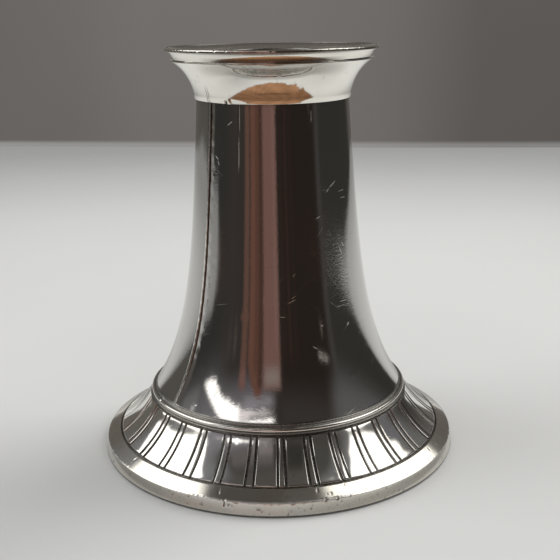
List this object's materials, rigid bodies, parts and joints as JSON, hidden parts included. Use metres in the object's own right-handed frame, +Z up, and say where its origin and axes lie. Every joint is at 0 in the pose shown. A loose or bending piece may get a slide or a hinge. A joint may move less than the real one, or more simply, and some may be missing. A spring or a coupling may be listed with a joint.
{
  "type": "candlestick",
  "caption": "Short silver candlestick with a trumpet column on a round chased foot and a loose nozzle that lifts out.",
  "frame": {"origin": "centre of the flat face that it stands on, under the cloth pad", "axes": "+Z up along the column, -Y towards the viewer, +X to the viewer's right"},
  "size_m": [0.091, 0.091, 0.101],
  "materials": {
    "silver": "polished",
    "worn_silver": "satin",
    "solder": "satin",
    "baize": "matte",
    "board": "matte",
    "filling": "matte"
  },
  "bodies": {
    "holder": {"baize_pad": "baize", "closing_disc": "board", "load_filling": "filling", "foot_rim": "worn_silver", "chased_band": "silver", "foot_moulding": "silver", "column": "silver", "column_seam": "solder", "collar": "silver", "seat_plate": "worn_silver", "nozzle_sleeve": "worn_silver"},
    "nozzle": {"seat_ring": "silver", "drip_pan": "silver", "pan_rim": "silver", "socket_tube": "silver", "socket_floor": "worn_silver"}
  },
  "joints": [
    {"name": "nozzle_lift", "type": "slide", "parent": "holder", "child": "nozzle", "axis": [0, 0, 1], "range_m": [0, 0.03]}
  ]
}
